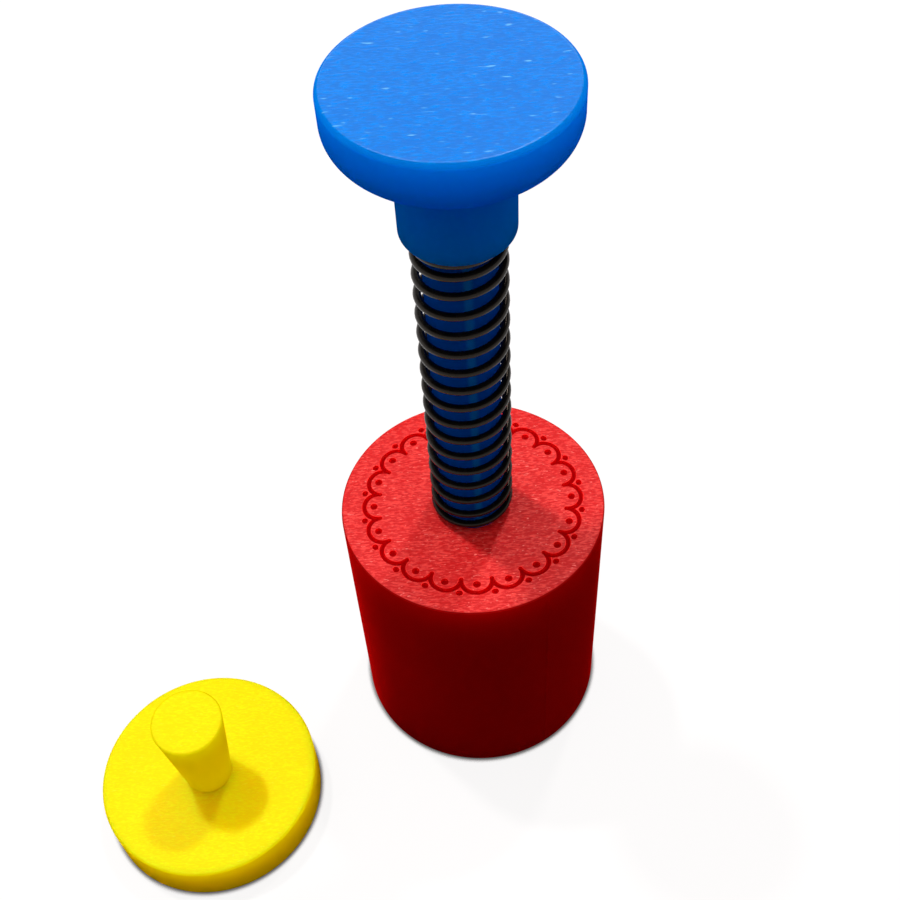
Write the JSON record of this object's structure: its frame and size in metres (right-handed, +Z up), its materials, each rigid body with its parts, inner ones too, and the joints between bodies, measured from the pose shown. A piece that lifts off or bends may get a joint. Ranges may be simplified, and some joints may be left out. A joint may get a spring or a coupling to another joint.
{
  "type": "peda stamp",
  "caption": "Spring-loaded plunger press for round sweets: open cup, guided rod with a flat knob, coil return spring and rosette die, with a loose hand stamp that fits the same cup.",
  "frame": {"origin": "centre of the cup's mouth, on the surface that the press and the stamp stand on", "axes": "+Z up along the plunger; the picture is taken from the -Y side, with +X to its right"},
  "size_m": [0.0923, 0.0673, 0.1335],
  "materials": {
    "red_plastic": "printed plastic, grainy flat faces and satin sides",
    "blue_plastic": "printed plastic, grainy flat faces and satin sides",
    "yellow_plastic": "printed plastic, grainy flat faces and satin sides",
    "spring_steel": "black oiled spring wire"
  },
  "bodies": {
    "press_body": {"mould_body": "red_plastic", "return_spring": "spring_steel"},
    "plunger": {"plunger_knob": "blue_plastic", "plunger_rod": "blue_plastic", "press_die": "blue_plastic"},
    "hand_stamp": {"stamp_disc": "yellow_plastic", "stamp_grip": "yellow_plastic"}
  },
  "joints": [
    {"name": "plunger_slide", "type": "slide", "parent": "press_body", "child": "plunger", "axis": [0, 0, -1], "range_m": [0, 0.03], "stiffness_N_per_m": 790, "springref_m": -0.003, "deforming": ["return_spring"]},
    {"name": "stamp_lift", "type": "slide", "parent": "press_body", "child": "hand_stamp", "axis": [0, 0, 1], "range_m": [0, 0.06]}
  ]
}
